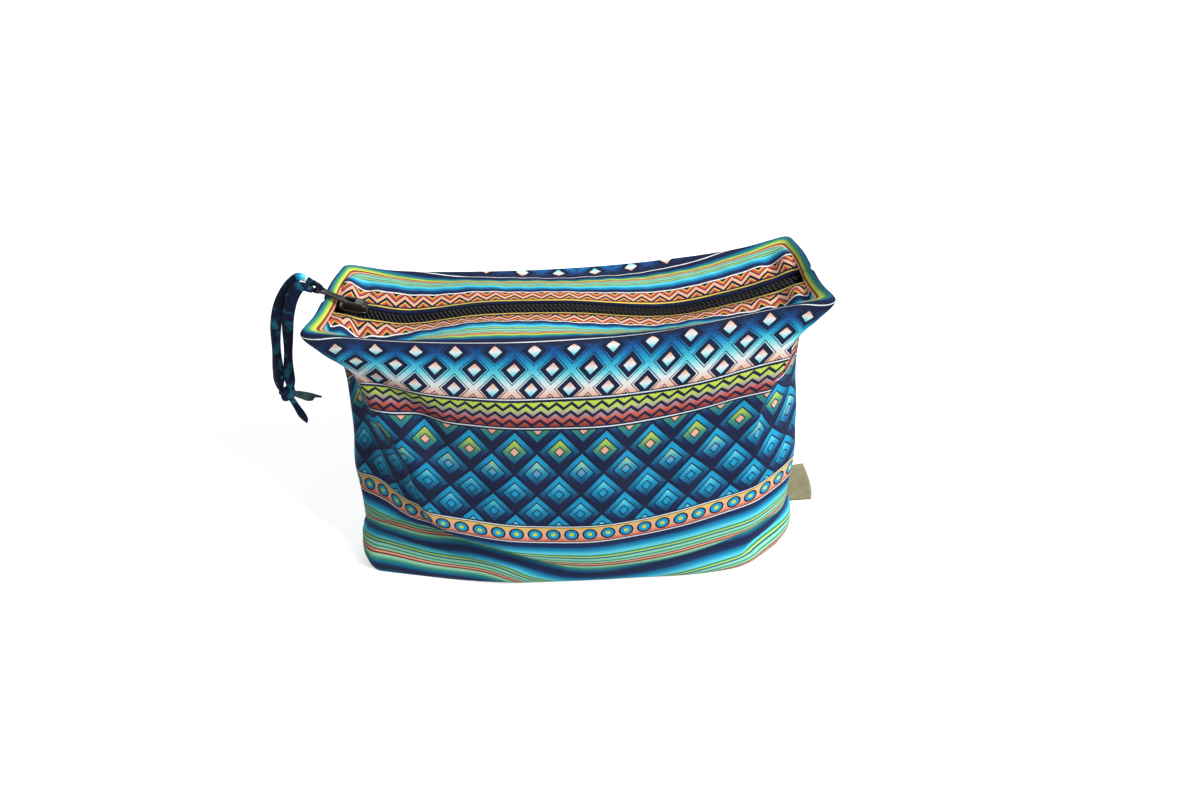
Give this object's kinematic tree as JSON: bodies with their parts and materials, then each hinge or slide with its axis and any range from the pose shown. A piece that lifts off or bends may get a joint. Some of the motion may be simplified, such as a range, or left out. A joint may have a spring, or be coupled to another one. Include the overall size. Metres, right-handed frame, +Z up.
{
  "type": "waterproof zip pouch",
  "caption": "Soft boxed-corner cloth pouch that stands on its base, with a zipped slack top, a knotted cloth pull on the slider and a blank folded label in the side seam.",
  "frame": {"origin": "on the floor under the middle of the pouch's outline, the pull strap left out", "axes": "+X along the zip from the slider to the label side, +Y from the front to the back, +Z up"},
  "size_m": [0.2639, 0.0736, 0.172],
  "materials": {
    "panel_cloth": "printed matt knit, coated inside",
    "zip_tape": "woven polyester tape",
    "zip_teeth": "moulded black",
    "slider_metal": "black lacquer",
    "strap_cloth": "printed knit strap",
    "label_cloth": "woven satin, blank"
  },
  "bodies": {
    "root": {"front_panel": "panel_cloth", "back_panel": "panel_cloth", "zip_tape_front": "zip_tape", "zip_tape_back": "zip_tape", "zip_teeth_front": "zip_teeth", "zip_teeth_back": "zip_teeth", "zip_slider": "slider_metal", "zip_puller": "slider_metal", "pull_bight": "strap_cloth", "pull_strand_outer": "strap_cloth", "pull_strand_inner": "strap_cloth", "pull_knot": "strap_cloth", "pull_tail_side": "strap_cloth", "pull_tail_down": "strap_cloth", "side_label": "label_cloth"}
  },
  "joints": []
}
